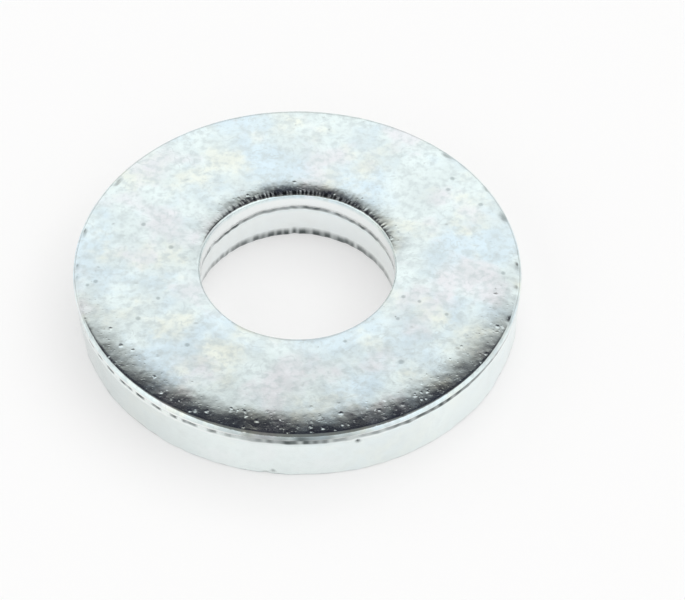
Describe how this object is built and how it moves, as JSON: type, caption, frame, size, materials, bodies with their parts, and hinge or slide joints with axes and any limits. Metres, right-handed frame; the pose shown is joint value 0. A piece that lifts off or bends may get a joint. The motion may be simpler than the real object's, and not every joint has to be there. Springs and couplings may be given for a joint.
{
  "type": "heavy flat washer",
  "caption": "Thick punched steel flat washer: rolled upper edges, smooth land, torn and tapered walls below, bright zinc plated.",
  "frame": {"origin": "centre of the hole, on the lower bearing face", "axes": "+Z along the hole's axis, from the lower face towards the face with the rolled edges; +X and +Y lie in the bearing face and are alike"},
  "size_m": [0.0254, 0.0254, 0.0036],
  "materials": {
    "zinc_plated_steel": "bright zinc plate with a fine frosted grain and a faint blue and straw bloom"
  },
  "bodies": {
    "root": {"washer": "zinc_plated_steel"}
  },
  "joints": []
}
